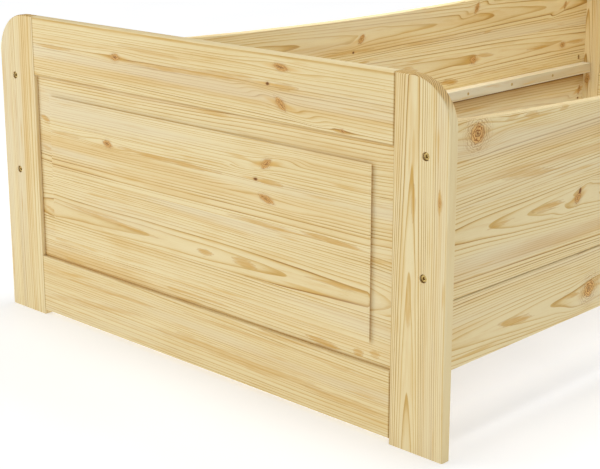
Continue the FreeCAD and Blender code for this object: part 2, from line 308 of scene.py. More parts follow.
# Knots: distances are counted in their own sizes
FAR_OFF = 9.0
POINTED_STRETCH = 1.8
KNOT_WOBBLE = 0.7
WAKE_LEAN = 0.3
WAKE_GIVE = {"start": 0.2, "end": 2.6, "most": 0.86}
HALO_FADE = {"start": 0.25, "end": 1.1, "most": 0.75}
HALO_CLOUD = {"start": 0.3, "end": 0.6}
KNOT_RINGS = 3.4
KNOT_RING_LUCK = 0.9
KNOT_LINE_PULSE = {"start": 0.35, "full": 0.8, "fade": 0.88, "end": 1.0}
KNOT_LINE_TONE = 0.85
KNOT_FIBRE_TONE = 0.5
KNOT_FIBRE_OFFSET = -0.2
KNOT_TONES = [(0.1, KNOT_LIGHT), (0.8, KNOT_DARK)]
HEART_FADE = {"start": 0.12, "end": 0.55, "most": 0.5}
HEART_LUCK = {"start": 0.40, "end": 0.6}
RIM_STEP = {"start": 0.7, "end": 0.95}
RIM_LUCK = {"start": 0.46, "end": 0.62}
RIM_SHARE = 0.7
DEAD_FADE = {"start": 0.5, "end": 1.1, "most": 0.85}
SWIRL_FADE = {"start": 1.0, "end": 2.2, "most": 0.4}
WHORL_FADE = {"start": 1.1, "end": 2.6, "most": 0.55}
KNOT_FADE = {"start": 0.70, "end": 1.25}

# Knots set by chance: their radius in millimetres, stretch and lean in degrees
CHANCE_RADIUS = (4, 9)
CHANCE_STRETCH = (1.2, 2.0)
CHANCE_LEAN = (-30, 30)

# Darker seams, painted shade from a frame's edge and a painted shadow below a ledger, in millimetres
SEAM_AND_SHADE_START = 0.8
END_SEAM_REACH = 3.0
EDGE_SHADE_REACH = 2.4
CREVICE_START = 1.5
CREVICE_REACH = 4.5
LEDGER_SHADOW_DEPTH = 4.0
CORNER_BELOW = (15, 8)

# Edges and end grain: paler edges and narrow faces, as wear and a painted highlight
WORN_AND_HIGHLIT_FADE = {"start": 0.0, "end": 4 * MM, "most": 0.3}
NARROW_SIDE = {"start": 0.5, "end": 0.9}
HANDLED_AND_HIGHLIT_CLOUD = {"start": 0.25, "end": 0.6, "low": 0.75, "high": 0.35}
END_GRAIN = {"start": 0.30, "end": 0.65}
END_GOLD = 0.55
END_PULSE = {"start": 0.5, "full": 0.7, "fade": 0.94, "end": 1.0}
END_LINE_TONE = 0.6
END_BASE_TONE = 0.06

# Gloss and relief
LATE_ROUGHNESS = -0.08
FIBRE_ROUGHNESS = 0.16
BASE_ROUGHNESS = 0.53
END_ROUGHNESS = 0.25
LATE_HEIGHT = 0.5
WOOD_BUMP = 0.03 * MM
WOOD_SPECULAR = 0.18


def knot(along, across, radius, stretch=1.4, lean=0.0, wake=3.0, dead=False, whorl=False):
    """A knot in millimetres on the board's face, longer along the grain, turned by lean in degrees.

    The wake is how many times longer than the knot the stretch is in which the grain bends round it.
    A dead knot is dark all through. A whorl is a set of rings round the knot. A knot that is stretched
    far has pointed ends.
    """
    return {
        "along": along, "across": across, "radius": radius, "stretch": stretch,
        "lean": lean, "wake": wake, "dead": dead, "whorl": whorl,
    }


def scattered_knots(node, grain, count, seed):
    """Knots set by chance over a board."""
    low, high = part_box(node)
    along_axis, across_axis, _ = GRAIN_AXES[grain]
    chance = random.Random(seed)
    knots = []
    for _ in range(count):
        along = chance.uniform(low[along_axis], high[along_axis]) / MM
        across = chance.uniform(low[across_axis], high[across_axis]) / MM
        radius = chance.uniform(*CHANCE_RADIUS)
        stretch = chance.uniform(*CHANCE_STRETCH)
        lean = chance.uniform(*CHANCE_LEAN)
        knots.append(knot(along, across, radius, stretch, lean))
    return knots


def flame(start, end, width, strength):
    """A golden streak between two places on the board's face, each along and across it, in millimetres."""
    return {"start": Vector(start), "end": Vector(end), "width": width, "strength": strength}


class Board(Recipe):
    """The material of one board, cut from logs as staves that are glued edge to edge.

    It knows the board's box, places along, across and through its grain, distances from its edges and
    ends, the luck of each stave and the noise that several steps share.
    """

    def __init__(self, node, grain, seed, staves):
        super().__init__(node)
        low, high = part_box(node)
        axes = GRAIN_AXES[grain]
        self.low_along, self.low_across, self.low_through = [low[axis] for axis in axes]
        self.high_along, self.high_across, self.high_through = [high[axis] for axis in axes]
        place = self.place()
        self.along, self.across, self.through = [place[axis] for axis in axes]
        self.face = self.joined(self.along, self.across, 0.0)
        normal = self.split(self.node("ShaderNodeNewGeometry").outputs["Normal"])
        self.facing_along, self.facing_across, _ = [self.math("ABSOLUTE", normal[axis]) for axis in axes]

        self.low_edge = self.math("SUBTRACT", self.across, self.low_across)
        high_edge = self.math("SUBTRACT", self.high_across, self.across)
        self.edge = self.math("MINIMUM", self.low_edge, high_edge)
        low_end = self.math("SUBTRACT", self.along, self.low_along)
        high_end = self.math("SUBTRACT", self.high_along, self.along)
        self.end = self.math("MINIMUM", low_end, high_end)

        self.seed = seed
        self.stave_width = (self.high_across - self.low_across) / staves
        counted = self.times(self.across, 1 / self.stave_width, -self.low_across / self.stave_width)
        self.stave = self.math("FLOOR", counted)
        self.luck = self.split(self.chance(self.math("ADD", self.stave, seed))["Color"])

        along_log = self.times(self.luck[2], LOG_LENGTH, self.along)
        self.log_axes = (along_log, self.across, self.through)
        self.ragged = self.noise_levels((self.along, self.across, self.through), RAGGED_WAVES, detail=3.0)
        self.bend = self.noise_levels(self.log_axes, BEND_WAVES, detail=4.0, roughness=0.42)
        self.fibre = self.noise_level(self.log_axes, FIBRE_WAVES)
        self.cloud = self.noise_level(self.log_axes, CLOUD_WAVES)
        self.wisps = self.noise_levels(self.log_axes, WISP_WAVES)

    def oblong(self, middle, half_sizes, lean):
        """Places on the board's face counted in half sizes of a leaning oblong, from its middle."""
        inputs = {
            "Vector": self.face,
            "Location": (middle[0] * MM, middle[1] * MM, 0.0),
            "Rotation": (0.0, 0.0, math.radians(lean)),
            "Scale": (half_sizes[0] * MM, half_sizes[1] * MM, 1.0),
        }
        return self.node("ShaderNodeMapping", inputs, vector_type="TEXTURE").outputs[0]

    def pointed_reach(self, shape):
        """Distance from the middle of a form with two pointed ends, which is 1 on its outline."""
        along, across, _ = self.split(shape)
        return self.math("ADD", self.math("ABSOLUTE", across), self.product(along, along))


def pith_places(board, piths, slopes):
    """Where the pith of each stave lies across the board, as listed or by chance."""
    if not piths:
        first = board.low_across + PITH_MARGIN * board.stave_width
        start = board.times(board.stave, board.stave_width, first)
        return board.math("ADD", start, board.times(board.luck[0], PITH_ROOM * board.stave_width))
    shares = []
    for index, (pith, slope) in enumerate(zip(piths, slopes or [0.0] * len(piths))):
        path = board.times(board.along, slope, pith * MM - slope * board.low_along)
        shares.append(board.product(board.math("COMPARE", board.stave, index, 0.5), path))
    return board.total(shares)


def around_knots(board, knots):
    """How near the nearest knot of each kind is, and how far the grain gives way to each knot."""
    wobble_along, wobble_across = [board.swing(level, KNOT_WOBBLE) for level in board.ragged[:2]]
    wobble = board.joined(wobble_along, wobble_across, 0.0)
    nearest = {kind: FAR_OFF for kind in ("any", "dead", "whorl", "wake")}
    drift = []
    for spot in knots:
        middle = (spot["along"], spot["across"])
        half_length = spot["radius"] * spot["stretch"]
        shape = board.shifted(board.oblong(middle, (half_length, spot["radius"]), spot["lean"]), wobble)
        pointed = spot["stretch"] >= POINTED_STRETCH
        reach = board.pointed_reach(shape) if pointed else board.length(shape)
        wake_halves = (half_length * spot["wake"], spot["radius"])
        wake = board.length(board.oblong(middle, wake_halves, WAKE_LEAN * spot["lean"]))
        reaches = {"any": reach, "wake": wake}
        for kind in ("dead", "whorl"):
            if spot[kind]:
                reaches[kind] = reach
        for kind, value in reaches.items():
            nearest[kind] = board.math("MINIMUM", nearest[kind], value)
        aside = board.math("SUBTRACT", spot["across"] * MM, board.across)
        drift.append(board.product(aside, board.faded(wake, **WAKE_GIVE)))
    return nearest, drift


def from_pith(board, pith, drift, depth, taper):
    """How far a place is from its log's pith, with the log's slow bends and the drift round knots."""
    aside = board.total([
        board.math("SUBTRACT", board.across, pith),
        board.swing(board.bend[0], BEND_ACROSS * MM),
        *drift,
    ])
    middle_along = (board.low_along + board.high_along) / 2
    middle_through = (board.low_through + board.high_through) / 2
    pith_depth = board.times(board.along, taper, depth * MM - taper * middle_along - middle_through)
    inwards = board.total([board.through, pith_depth, board.swing(board.bend[1], BEND_DEEP * MM)])
    return board.length(board.joined(aside, inwards, 0.0))


def growth_rings(board, radius, ring, depth, contrast):
    """The share of its year that has passed where the wood grew, and how late and dark the wood is.

    Each year is pale first, then golden, with a dark line at its end.
    """
    uneven = board.noise_line(board.times(radius, UNEVEN_WAVES, board.seed), detail=2.0)
    outwards = board.math("LOGARITHM", board.math("DIVIDE", radius, depth * MM), math.e)
    years = board.times(uneven, UNEVEN_YEARS, board.times(outwards, depth / ring, YEARS_BEFORE))
    share = board.math("FRACT", years)
    year_luck = board.chance(board.math("ADD", board.math("FLOOR", years), board.seed))["Value"]
    luck = board.math("POWER", year_luck, YEAR_POWER)
    fading = board.noise_level(board.log_axes, FADING_WAVES, detail=1.0)
    strength = board.product(
        board.times(luck, YEAR_LUCK * contrast, YEAR_BASE * contrast),
        board.times(fading, FADING_GAIN, FADING_BASE),
    )
    golden = board.times(board.pulse(share, **GOLDEN_PULSE), GOLDEN_TONE)
    line = board.times(board.pulse(share, **LINE_PULSE), LINE_TONE)
    return share, board.product(board.math("ADD", golden, line), strength)


def wood_colour(board, lateness, bands, colours):
    """Colours by the rings, the fibres and slow changes along the board, with bands and golden wisps."""
    flecks = board.eased(board.noise_level(board.log_axes, FLECK_WAVES, detail=1.0), **FLECK_STEP)
    tone = board.total([
        lateness,
        board.swing(board.fibre, FIBRE_TONE),
        board.times(board.cloud, CLOUD_TONE, CLOUD_TONE_OFFSET),
        board.swing(board.luck[0], STAVE_TONE),
        board.times(flecks, FLECK_TONE),
    ])
    colour = board.ramp(tone, colours)
    zones = board.noise_levels(board.log_axes, ZONE_WAVES)
    colour = board.stained(board.eased(zones[0], **HEARTWOOD_ZONE), colour, HEARTWOOD)
    colour = board.mixed(board.eased(zones[1], **PALE_ZONE), colour, PALE_WOOD)
    for middle, half_width in bands:
        straight = board.math("SUBTRACT", board.across, (middle - BAND_SWAY / 2) * MM)
        aside = board.math("ABSOLUTE", board.times(board.bend[1], -BAND_SWAY * MM, straight))
        start, end = [part * half_width * MM for part in BAND_FADE]
        inside = board.faded(aside, start, end, BAND_SHARE)
        share = board.product(inside, board.eased(board.cloud, **BAND_CLOUD))
        colour = board.stained(share, colour, TAN_BAND)
    strong = board.eased(board.wisps[0], **STRONG_WISP)
    faint = board.eased(board.wisps[1], **FAINT_WISP)
    return board.mixed(board.math("MAXIMUM", strong, faint), colour, GOLDEN_WOOD)


def streaked(board, colour, flames):
    """Adds golden streaks with feathery outlines."""
    feathers = board.noise_level(board.log_axes, FEATHER_WAVES)
    sway = board.math("ADD", board.swing(board.wisps[2], WISP_SWAY), board.swing(feathers, FEATHER_SWAY))
    uneven_edge = board.joined(0.0, sway, 0.0)
    for streak in flames:
        run = streak["end"] - streak["start"]
        middle = (streak["start"] + streak["end"]) / 2
        lean = math.degrees(math.atan2(run.y, run.x))
        shape = board.oblong(middle, (run.length / 2, streak["width"] / 2), lean)
        reach = board.pointed_reach(board.shifted(shape, uneven_edge))
        inside = board.faded(reach, most=STREAK_GAIN * streak["strength"], **STREAK_FADE)
        share = board.product(inside, board.eased(board.fibre, **STREAK_FIBRE))
        colour = board.mixed(share, colour, FLAME)
        outline = board.pulse(reach, most=OUTLINE_SHARE * streak["strength"], **OUTLINE_PULSE)
        colour = board.mixed(outline, colour, FLAME_EDGE)
    return colour


def knotted(board, colour, nearest):
    """Adds the colours of knots: a golden wake, rings of their own, a dark heart and a dark rim."""
    halo = board.product(board.faded(nearest["wake"], **HALO_FADE), board.eased(board.cloud, **HALO_CLOUD))
    colour = board.mixed(halo, colour, KNOT_HALO)
    counted = board.times(nearest["any"], KNOT_RINGS, board.times(board.ragged[2], KNOT_RING_LUCK))
    line = board.pulse(board.math("FRACT", counted), **KNOT_LINE_PULSE)
    fibre = board.times(board.fibre, KNOT_FIBRE_TONE, KNOT_FIBRE_OFFSET)
    wood = board.ramp(board.math("ADD", board.times(line, KNOT_LINE_TONE), fibre), KNOT_TONES)
    heart = board.faded(nearest["any"], **HEART_FADE)
    heart = board.product(heart, board.eased(board.ragged[2], **HEART_LUCK))
    wood = board.mixed(heart, wood, KNOT_HEART)
    rim = board.eased(nearest["any"], **RIM_STEP)
    rim = board.product(rim, board.eased(board.ragged[0], **RIM_LUCK))
    wood = board.mixed(board.times(rim, RIM_SHARE), wood, KNOT_RIM)
    wood = board.mixed(board.faded(nearest["dead"], **DEAD_FADE), wood, KNOT_HEART)
    swirl = board.faded(nearest["any"], **SWIRL_FADE)
    whorl = board.faded(nearest["whorl"], **WHORL_FADE)
    around = board.product(board.math("MAXIMUM", swirl, whorl), line)
    colour = board.mixed(around, colour, KNOT_DARK)
    return board.mixed(board.faded(nearest["any"], **KNOT_FADE), colour, wood)


def darkened_and_shaded(board, colour, rebate, seam_and_shade_lines, shadow_below_ledger):
    """Darkens the wood at the seams of its ends, paints shade on its low edge beside a panel and in the
    crevice along a frame, and paints a shadow on its inner face below a ledger.
    """
    seam_and_shade_places = {"ends": (board.end, END_SEAM_REACH), "low edge": (board.low_edge, EDGE_SHADE_REACH)}
    # The seams at the ends are darker; a low edge beside a panel gets painted shade.
    for darkened_line in seam_and_shade_lines:
        inwards, reach = seam_and_shade_places[darkened_line]
        colour = board.stained(board.faded(inwards, SEAM_AND_SHADE_START * MM, reach * MM), colour, SEAM_AND_SHADE)
    # Painted shade in the crevice where the frame covers the edges.
    if rebate:
        hem = board.math("MINIMUM", board.edge, board.end)
        crevice_shade = board.faded(hem, (rebate + CREVICE_START) * MM, (rebate + CREVICE_REACH) * MM)
        colour = board.stained(crevice_shade, colour, CREVICE_SHADE)
    # A painted shadow on the inner face below the ledger.
    if shadow_below_ledger:
        top, bottom = shadow_below_ledger
        inner_face = min(abs(board.low_through), abs(board.high_through))
        off_middle = board.math("ABSOLUTE", board.through)
        inside = board.faded(off_middle, inner_face, inner_face + LEDGER_SHADOW_DEPTH * MM)
        shadow_share = board.eased(board.across, bottom * MM, top * MM)
        colour = board.stained(board.product(inside, shadow_share), colour, LEDGER_SHADOW)
        # A darker painted shadow in the corner right under the ledger.
        start, end = [(top - below) * MM for below in CORNER_BELOW]
        corner = board.eased(board.across, start, end)
        colour = board.stained(board.product(inside, corner), colour, LEDGER_CORNER_SHADOW)
    return colour


def edged(board, colour, share, end_grain, palest):
    """Makes edges and narrow faces paler, as wear and a painted highlight, and the end grain golden with
    dark rings.
    """
    # Paler edges and narrow faces, as wear and a painted highlight.
    worn_and_highlit_edge = board.product(board.faded(board.edge, **WORN_AND_HIGHLIT_FADE), board.cloud)
    colour = board.mixed(worn_and_highlit_edge, colour, palest)
    narrow_side = board.eased(board.facing_across, **NARROW_SIDE)
    handled_and_highlit_side = board.product(narrow_side, board.eased(board.cloud, **HANDLED_AND_HIGHLIT_CLOUD))
    colour = board.mixed(handled_and_highlit_side, colour, palest)
    colour = board.mixed(board.times(end_grain, END_GOLD), colour, GOLDEN_WOOD)
    end_tone = board.times(board.pulse(share, **END_PULSE), END_LINE_TONE, END_BASE_TONE)
    return board.mixed(board.product(end_grain, end_tone), colour, END_LINE)


def pine(
    node, grain, seed, knots=(), flames=(), piths=None, slopes=None, staves=1, ring=3.0, depth=75.0,
    taper=0.0, contrast=1.0, bands=(), rebate=None, seam_and_shade_lines=(), shadow_below_ledger=None, colours=PINE,
):
    """Solid wood for one board: growth rings about a pith behind the board, which flow round its knots.

    The board is glued up from staves. Piths lists where each stave's pith lies across the board, in
    millimetres, and slopes lists how fast it moves across it from the board's low end. The pith lies
    at the depth behind the board's middle, in millimetres, and the depth grows along the board by the
    taper. The rings are that many millimetres wide at that depth, and wider further out, and the
    contrast is how strong they are. Bands of darker wood lie along the board, each with its middle and
    half its width. Painted shade darkens the crevice where a frame covers the board's edges by the
    rebate. The wood is darker at the seams of its ends, and painted shade darkens its low edge beside a
    panel. A painted shadow darkens its inner face below a ledger, from one place across it down to
    another.
    """
    board = Board(node, grain, seed, len(piths) if piths else staves)
    nearest, drift = around_knots(board, knots)
    radius = from_pith(board, pith_places(board, piths, slopes), drift, depth, taper)
    share, lateness = growth_rings(board, radius, ring, depth, contrast)
    colour = wood_colour(board, lateness, bands, colours)
    colour = streaked(board, colour, flames)
    if knots:
        colour = knotted(board, colour, nearest)
    colour = darkened_and_shaded(board, colour, rebate, seam_and_shade_lines, shadow_below_ledger)
    end_grain = board.eased(board.facing_along, **END_GRAIN)
    _, palest = colours[0]
    colour = edged(board, colour, share, end_grain, palest)
    roughness = board.total([
        board.times(lateness, LATE_ROUGHNESS),
        board.times(board.fibre, FIBRE_ROUGHNESS, BASE_ROUGHNESS),
        board.times(end_grain, END_ROUGHNESS),
    ])
    height = board.times(lateness, LATE_HEIGHT, board.fibre)
    return board.finish(colour, roughness, height, WOOD_BUMP, **{"Specular IOR Level": WOOD_SPECULAR})


# Knots and streaks as the photograph shows them, and a few more in the same manner

FOOT_PANEL_KNOTS = [
    knot(-235, 385, 6.5, 2.2, -12),
    knot(180, 415, 7, 2.2, 36),
    knot(155, 385, 3.0, 1.7, 0, 9.0, dead=True),
    knot(180, 355, 6, 3.2, -14),
]
FOOT_PANEL_FLAMES = [
    flame((-215, 385), (70, 380), 11, 0.60),
    flame((160, 385), (220, 385), 9, 0.60),
    flame((-410, 385), (-300, 385), 10, 0.45),
    flame((-450, 410), (-415, 400), 12, 0.70),
    flame((-450, 350), (-415, 345), 8, 0.40),
    flame((-450, 230), (-410, 220), 8, 0.45),
    flame((85, 310), (305, 310), 8, 0.60),
    flame((260, 315), (405, 310), 9, 0.70),
    flame((5, 230), (50, 230), 9, 0.70),
    flame((95, 235), (160, 230), 12, 0.65),
    flame((270, 240), (405, 240), 8, 0.60),
    flame((-370, 245), (-85, 230), 8, 0.50),
    flame((-80, 140), (85, 140), 8, 0.40),
    flame((265, 135), (345, 130), 10, 0.65),
    flame((370, 135), (395, 135), 11, 0.65),
    flame((405, 140), (430, 140), 11, 0.55),
]
FOOT_TOP_KNOTS = [
    knot(-205, 550, 6.5, 2.3),
    knot(215, 580, 6, 3.0, -8),
    knot(185, 550, 3.0, 1.6, 0, 9.0, dead=True),
    knot(215, 520, 7, 2.3, -40),
    knot(350, 495, 2.5, 3.0, -10),
]
FOOT_TOP_FLAMES = [
    flame((-175, 545), (160, 550), 10, 0.55),
    flame((190, 550), (255, 550), 9, 0.60),
    flame((-450, 550), (-325, 550), 8, 0.55),
    flame((35, 555), (170, 555), 5, 0.40),
    flame((-195, 575), (-5, 565), 8, 0.30),
    flame((-420, 485), (-200, 490), 14, 0.30),
    flame((330, 495), (370, 490), 8, 0.50),
]
FOOT_BOTTOM_FLAMES = [
    flame((-115, 55), (325, 55), 18, 0.40),
    flame((-455, 40), (-140, 70), 16, 0.30),
    flame((140, 115), (325, 125), 10, 0.35),
    flame((-450, 90), (-75, 95), 6, 0.45),
    flame((260, 50), (450, 45), 16, 0.35),
    flame((-35, 105), (260, 105), 8, 0.35),
    flame((260, 105), (450, 100), 10, 0.35),
]
LEFT_STILE_FLAMES = [flame((450, -520), (385, -520), 5, 0.50), flame((250, -515), (195, -515), 5, 0.40)]
RIGHT_STILE_KNOTS = [knot(415, 545, 2.6, 2.6)]
RIGHT_STILE_FLAMES = [
    flame((435, 545), (395, 545), 7, 0.60),
    flame((435, 495), (375, 495), 8, 0.60),
    flame((270, 485), (200, 490), 7, 0.40),
]
NEAR_UPPER_KNOTS = [
    knot(-910, 500, 16, 1.1, 0, 2.2, whorl=True),
    knot(-615, 355, 4.5, 1.3, 60, 4.0, dead=True),
    knot(-620, 345, 8, 1.4, 50),
    knot(-180, 430, 8),
    knot(320, 300, 7),
    knot(700, 455, 8),
]
NEAR_UPPER_FLAMES = [
    flame((-885, 420), (-660, 405), 10, 0.50),
    flame((-760, 345), (-660, 345), 12, 0.70),
    flame((-790, 510), (-745, 510), 10, 0.60),
    flame((-840, 510), (-800, 515), 8, 0.40),
    flame((-690, 505), (-660, 510), 9, 0.50),
    flame((-880, 340), (-805, 345), 6, 0.50),
]
NEAR_LOWER_KNOTS = [knot(-570, 170, 14, 1.15, 40, 2.6, whorl=True), knot(150, 190, 7), knot(820, 160, 6)]
NEAR_LOWER_FLAMES = [
    flame((-840, 170), (-735, 165), 13, 0.65),
    flame((-655, 175), (-600, 170), 9, 0.60),
    flame((-560, 180), (-530, 185), 8, 0.50),
]
FAR_UPPER_KNOTS = [
    knot(-5, 445, 8, 1.9, 40),
    knot(-35, 415, 3, 1.3, 0, 5.0, dead=True),
    knot(455, 340, 10),
    knot(885, 335, 8),
    knot(465, 480, 8, 2.2, 60),
    knot(890, 450, 6, 2.2, 70),
    knot(975, 285, 2.5, 1.4, 0, 4.0, dead=True),
    knot(-520, 380, 8),
]
FAR_UPPER_FLAMES = [
    flame((-150, 415), (45, 415), 9, 0.55),
    flame((-20, 385), (30, 385), 8, 0.60),
    flame((155, 350), (220, 340), 12, 0.50),
    flame((465, 350), (555, 345), 10, 0.60),
    flame((310, 295), (390, 290), 14, 0.85),
    flame((495, 410), (540, 415), 8, 0.50),
    flame((160, 410), (305, 410), 8, 0.40),
    flame((705, 340), (815, 340), 9, 0.70),
    flame((895, 340), (1000, 340), 10, 0.60),
]
FAR_LOWER_KNOTS = [
    knot(985, 190, 7, 2.0, 70),
    knot(980, 165, 3, 1.4, 0, 4.0, dead=True),
    knot(-400, 190, 7),
    knot(300, 160, 6),
]
HEAD_LEFT_KNOTS = [knot(222, -492, 8, 1.6, 20)]

# How far the frames cover the panels' edges, and where a painted shadow lies on the boards below the
# ledgers
PANEL_REBATE = 8.0
LEDGER_SHADOW_SPAN = (244, 176)

# Each board's node, the way its grain runs, its seed and what is known of its wood
PINE_BOARDS = [
    ("foot_top_rail", "X", 3, dict(
        knots=FOOT_TOP_KNOTS, flames=FOOT_TOP_FLAMES, piths=[430], ring=2.7, depth=90, taper=0.010,
        seam_and_shade_lines=("ends", "low edge"))),
    ("foot_bottom_rail", "X", 17, dict(
        knots=[], flames=FOOT_BOTTOM_FLAMES, piths=[165], ring=2.7, depth=85, taper=-0.012, contrast=0.85,
        seam_and_shade_lines=("ends",))),
    ("foot_panel", "X", 29, dict(
        knots=FOOT_PANEL_KNOTS, flames=FOOT_PANEL_FLAMES, piths=[60, 230, 480, 540],
        ring=2.6, depth=70, taper=0.0093, rebate=PANEL_REBATE)),
    ("foot_left_stile", "Z", 41, dict(
        knots=[], flames=LEFT_STILE_FLAMES, piths=[-640], ring=2.6, depth=70, taper=0.012)),
    ("foot_right_stile", "Z", 53, dict(
        knots=RIGHT_STILE_KNOTS, flames=RIGHT_STILE_FLAMES, piths=[490],
        ring=2.5, depth=45, taper=0.013, contrast=1.2, seam_and_shade_lines=("low edge",))),
    ("right_side_upper_board", "Y", 67, dict(
        knots=NEAR_UPPER_KNOTS, flames=NEAR_UPPER_FLAMES, piths=[341, 528], slopes=[0.0, 0.055],
        ring=1.5, depth=45, taper=-0.014, contrast=1.1, bands=[(286, 12), (425, 6)])),
    ("right_side_lower_board", "Y", 71, dict(
        knots=NEAR_LOWER_KNOTS, flames=NEAR_LOWER_FLAMES, piths=[167],
        ring=1.6, depth=45, taper=-0.015, contrast=1.15, shadow_below_ledger=LEDGER_SHADOW_SPAN)),
    ("left_side_upper_board", "Y", 83, dict(
        knots=FAR_UPPER_KNOTS, flames=FAR_UPPER_FLAMES, piths=[342, 452], ring=2.4, depth=50, taper=0.012)),
    ("left_side_lower_board", "Y", 97, dict(
        knots=FAR_LOWER_KNOTS, ring=2.4, depth=50, taper=0.014, shadow_below_ledger=LEDGER_SHADOW_SPAN)),
    ("head_top_rail", "X", 101, dict(ring=2.6, depth=70, taper=0.012, seam_and_shade_lines=("ends", "low edge"))),
    ("head_lower_rail", "X", 113, dict(ring=2.6, depth=70, taper=-0.012, seam_and_shade_lines=("ends",))),
    ("head_panel", "X", 127, dict(staves=5, ring=2.6, depth=60, taper=0.010, rebate=PANEL_REBATE)),
    ("head_left_stile", "Z", 131, dict(knots=HEAD_LEFT_KNOTS, ring=2.5, depth=50, taper=0.014)),
    ("head_right_stile", "Z", 149, dict(ring=2.5, depth=50, taper=0.014)),
]

# Knots that chance gives to a board, besides one for each stave
EXTRA_KNOTS = 2


def dress(node, material):
    """Gives a CAD node its finish."""
    nodes[node].data.materials.clear()
    nodes[node].data.materials.append(material)


for node, grain, seed, wood in PINE_BOARDS:
    if "knots" not in wood:
        wood["knots"] = scattered_knots(node, grain, EXTRA_KNOTS + wood.get("staves", 1), seed)
    dress(node, pine(node, grain, seed, **wood))

for side, seed in (("left", 151), ("right", 163)):
    name = side + "_slat_ledger"
    dress(name, pine(name, "Y", seed, ring=1.9, colours=WHITEWOOD))

for end, seed in (("foot", 173), ("head", 181)):
    for kind, grain in (("_frame_dowels", "X"), ("_locating_dowels", "Y")):
        name = end + kind
        dress(name, pine(name, grain, seed, ring=1.4, colours=BEECH))


# Fasteners, turned about their axes. A profile lists depths below the top of the head in millimetres,
# each with an outline, which gives a radius for every angle.

FASTENER_STEPS = 48
SHARP_ANGLE = 25
CONE_TIP_RADIUS = 0.3
BOLT_HEAD_RADIUS = 6.0
BOLT_HEAD_HEIGHT = 6.0
BOLT_BEVEL = 0.3
BOLT_SHANK_RADIUS = 3.0
BOLT_TIP = 0.8
SOCKET_WIDTH = 5.0
SOCKET_DEPTH = 3.5
SOCKET_CONE = 1.2
SOCKET_CHAMFER = 0.4
SOCKET_MOUTH = 0.64
SCREW_HEAD_RADIUS = 4.3
SCREW_HEAD_HEIGHT = 2.9
SCREW_SHANK_RADIUS = 2.25
SCREW_POINT = 4.0
SCREW_POINT_RADIUS = 0.2
SCREW_COUNT = 9
RECESS_DEPTH = 2.6

# Rounded rims of the heads, as depths and how far inside the head's radius they lie
BOLT_RIM = [(0.0, 0.8), (0.25, 0.25), (0.8, 0.0)]
SCREW_RIM = [(0.0, 0.5), (0.15, 0.1), (0.4, 0.0)]

# The screws' cross recess, as depths with the reach of its arms and of its core
RECESS = [(2.2, 1.4, 0.6), (0.25, 2.3, 0.95), (0.0, 2.5, 1.1)]

# How high a wave of the angle is where a cross's arms start, and how much higher where they are full
CROSS_ARM_START = 0.2
CROSS_ARM_RISE = 0.6

ZINC_TONES = [(0.3, paint(226, 200, 130)), (0.7, paint(160, 132, 72))]
ZINC_ROUGHNESS = 0.20
ZINC_SPOT_ROUGHNESS = 0.25
ZINC_SPOT_WAVES = (900, 900, 900)
ZINC_MARK_WAVES = (4000, 4000, 4000)
ZINC_BUMP = 0.02 * MM


def metal(name):
    """Yellow plated steel with a mottled coat and fine turning marks."""
    recipe = Recipe(name)
    place = recipe.place()
    spots = recipe.noise_level(place, ZINC_SPOT_WAVES, detail=3.0)
    marks = recipe.noise_level(place, ZINC_MARK_WAVES, detail=1.0)
    colour = recipe.ramp(spots, ZINC_TONES)
    roughness = recipe.times(spots, ZINC_SPOT_ROUGHNESS, ZINC_ROUGHNESS)
    return recipe.finish(colour, roughness, marks, ZINC_BUMP, Metallic=1.0)


def circle(radius):
    """A round outline."""
    return lambda angle: radius


def hexagon(width):
    """A six-sided outline, by its width across the flats."""
    def reach(angle):
        off_flat = (angle + math.pi / 6) % (math.pi / 3) - math.pi / 6
        return width / 2 / math.cos(off_flat)
    return reach


def cross(arm, core):
    """An outline with four arms."""
    def reach(angle):
        arm_share = (math.cos(4 * angle) - CROSS_ARM_START) / CROSS_ARM_RISE
        return core + (arm - core) * min(1.0, max(0.0, arm_share))
    return reach


def bolt_profile(length):
    """Socket bolt, from the cone under its hexagon socket over the head to the tip of the shank."""
    return [
        (SOCKET_DEPTH + SOCKET_CONE, circle(CONE_TIP_RADIUS)),
        (SOCKET_DEPTH, hexagon(SOCKET_WIDTH)),
        (SOCKET_CHAMFER, hexagon(SOCKET_WIDTH)),
        (0.0, circle(SOCKET_MOUTH * SOCKET_WIDTH)),
        *[(depth, circle(BOLT_HEAD_RADIUS - inset)) for depth, inset in BOLT_RIM],
        (BOLT_HEAD_HEIGHT - BOLT_BEVEL, circle(BOLT_HEAD_RADIUS)),
        (BOLT_HEAD_HEIGHT, circle(BOLT_HEAD_RADIUS - BOLT_BEVEL)),
        (BOLT_HEAD_HEIGHT, circle(BOLT_SHANK_RADIUS)),
        (length - BOLT_TIP, circle(BOLT_SHANK_RADIUS)),
        (length, circle(BOLT_SHANK_RADIUS - BOLT_TIP)),
    ]


def screw_profile(length):
    """Countersunk screw, from the bottom of its cross recess over the head to its point."""
    return [
        (RECESS_DEPTH, circle(CONE_TIP_RADIUS)),
        *[(depth, cross(arm, core)) for depth, arm, core in RECESS],
        *[(depth, circle(SCREW_HEAD_RADIUS - inset)) for depth, inset in SCREW_RIM],
        (SCREW_HEAD_HEIGHT, circle(SCREW_SHANK_RADIUS)),
        (length - SCREW_POINT, circle(SCREW_SHANK_RADIUS)),
        (length, circle(SCREW_POINT_RADIUS)),
    ]


